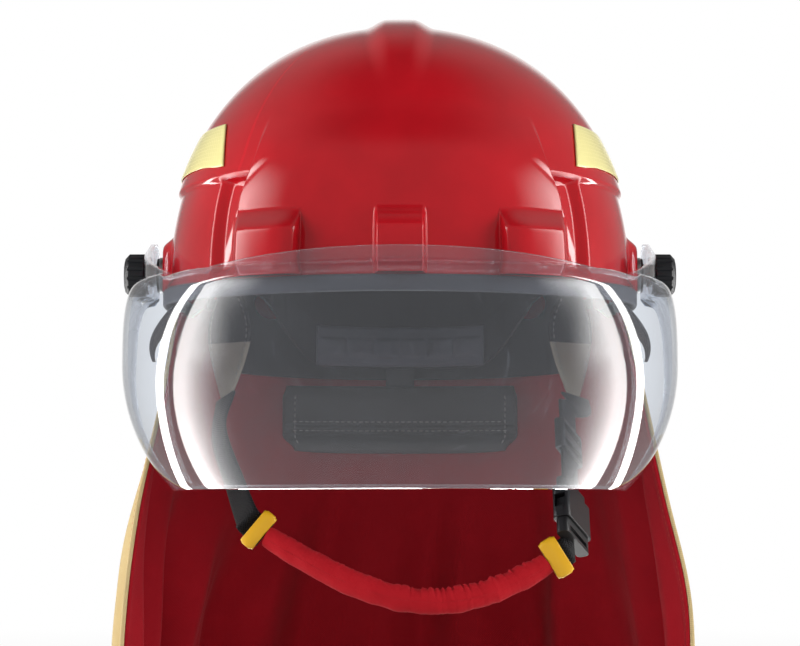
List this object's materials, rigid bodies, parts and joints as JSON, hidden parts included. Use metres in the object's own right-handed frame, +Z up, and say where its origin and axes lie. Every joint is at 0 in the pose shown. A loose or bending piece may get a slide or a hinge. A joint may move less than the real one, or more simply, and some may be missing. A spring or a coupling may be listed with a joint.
{
  "type": "fire helmet",
  "caption": "Fire helmet with a red moulded shell, tilting clear bubble visor, ratchet headband, padded chin strap with buckle, and neck curtain.",
  "frame": {"origin": "in the middle of the head opening: the height of the front brim, on the visor's axis seen from above, halfway between the ears", "axes": "+Z up through the crown, -Y the way the wearer looks, +X to the wearer's left, which is the right of the picture"},
  "size_m": [0.3298, 0.3456, 0.375],
  "materials": {
    "shell_red": "gloss lacquered moulding, deep red",
    "trim_rubber": "satin dark grey rubber",
    "reflective_yellow": "pale lime yellow retroreflective sheet with a fine cell pattern",
    "liner_foam": "dark grey moulded foam",
    "black_plastic": "fine-grained black moulding",
    "pad_fabric": "black quilted knit over foam",
    "webbing_black": "black woven webbing",
    "visor_clear": "clear polycarbonate sheet, gloss",
    "stud_steel": "plated steel",
    "knob_black": "satin black moulding with grip flutes",
    "loop_yellow": "golden yellow rubber",
    "sleeve_red": "padded red aramid cloth with a stitched seam",
    "curtain_cloth": "tan aramid outside, red aramid lining inside, stitched hems",
    "yoke_cream": "cream leather",
    "ear_grey": "dark grey padded cloth"
  },
  "bodies": {
    "helmet": {"shell": "shell_red", "edge_trim": "trim_rubber", "reflective_strip_left": "reflective_yellow", "reflective_strip_right": "reflective_yellow", "impact_liner": "liner_foam", "liner_carrier": "black_plastic", "carrier_brackets": "black_plastic", "headband": "black_plastic", "brow_pad": "pad_fabric", "crown_strap_1": "webbing_black", "crown_strap_2": "webbing_black", "crown_strap_3": "webbing_black", "crown_pad": "pad_fabric", "strap_clips": "black_plastic", "rear_cradle": "black_plastic", "pivot_stud_left": "stud_steel", "pivot_stud_right": "stud_steel", "friction_washer_left": "trim_rubber", "friction_washer_right": "trim_rubber", "ear_flap_left": "ear_grey", "ear_flap_right": "ear_grey", "strap_yoke_left": "yoke_cream", "strap_yoke_right": "yoke_cream", "yoke_rivets": "stud_steel", "webbing_left": "webbing_black", "webbing_right": "webbing_black", "buckle_body": "knob_black", "chin_sleeve": "sleeve_red", "loop_left": "loop_yellow", "neck_curtain": "curtain_cloth", "curtain_band": "webbing_black"},
    "visor": {"visor": "visor_clear", "visor_arm_left": "visor_clear", "visor_arm_right": "visor_clear"},
    "knob_left": {"knob_left": "knob_black"},
    "knob_right": {"knob_right": "knob_black"},
    "nape_unit": {"nape_frame": "black_plastic", "quilted_pad": "pad_fabric", "nape_pad": "pad_fabric", "ratchet_housing": "black_plastic", "ratchet_cover": "black_plastic"},
    "ratchet": {"ratchet_knob": "knob_black", "ratchet_pinion": "black_plastic"},
    "chin_tongue": {"buckle_tongue": "knob_black", "chin_webbing": "webbing_black", "loop_right": "loop_yellow"},
    "slider": {"strap_slider": "knob_black"}
  },
  "joints": [
    {"name": "visor_pivot", "type": "hinge", "parent": "helmet", "child": "visor", "pos_m": [0, 0, 0.012], "axis": [-1, 0, 0], "range_deg": [0, 100]},
    {"name": "knob_left_turn", "type": "hinge", "parent": "helmet", "child": "knob_left", "pos_m": [-0.138, 0, 0.012], "axis": [-1, 0, 0], "range_deg": [0, 360]},
    {"name": "knob_right_turn", "type": "hinge", "parent": "helmet", "child": "knob_right", "pos_m": [0.138, 0, 0.012], "axis": [1, 0, 0], "range_deg": [0, 360]},
    {"name": "nape_slide", "type": "slide", "parent": "helmet", "child": "nape_unit", "axis": [0, 1, 0], "range_m": [0, 0.009]},
    {"name": "ratchet_turn", "type": "hinge", "parent": "nape_unit", "child": "ratchet", "pos_m": [0, 0.12, -0.06], "axis": [0, 1, 0], "range_deg": [0, 360]},
    {"name": "buckle_release", "type": "slide", "parent": "helmet", "child": "chin_tongue", "axis": [0, -0.5, -0.866], "range_m": [0, 0.022], "deforming": ["chin_sleeve"]},
    {"name": "slider_move", "type": "slide", "parent": "helmet", "child": "slider", "axis": [0, 0.5, 0.866], "range_m": [-0.008, 0.01]}
  ],
  "couplings": [
    {"joint": "ratchet_turn", "follows": "nape_slide", "rad_per_m": 698.13}
  ]
}
